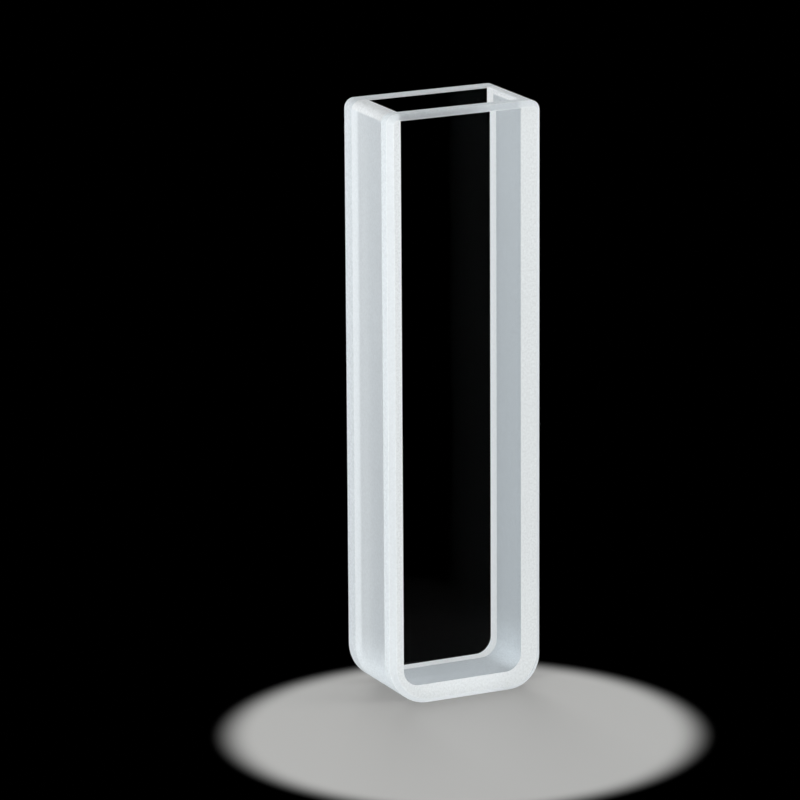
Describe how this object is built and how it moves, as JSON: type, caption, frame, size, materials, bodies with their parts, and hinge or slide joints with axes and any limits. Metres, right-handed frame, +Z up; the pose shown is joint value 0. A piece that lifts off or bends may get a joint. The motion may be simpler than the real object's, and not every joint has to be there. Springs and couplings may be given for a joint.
{
  "type": "cuvette",
  "caption": "Upright rectangular quartz cuvette, open at the top, with clear polished front and rear windows fused to a frosted U-shaped frame; holds a liquid sample in a light beam.",
  "frame": {"origin": "under the middle of the base, on the surface that the cuvette stands on", "axes": "+Z up along the cell, +Y along the light path from the front window to the rear one, +X to the right"},
  "size_m": [0.0126, 0.0074, 0.045],
  "materials": {
    "ground_quartz": "fine ground, frosted white, with polished inner walls",
    "polished_quartz": "polished clear faces, ground edges"
  },
  "bodies": {
    "root": {"u_frame": "ground_quartz", "front_window": "polished_quartz", "rear_window": "polished_quartz"}
  },
  "joints": []
}
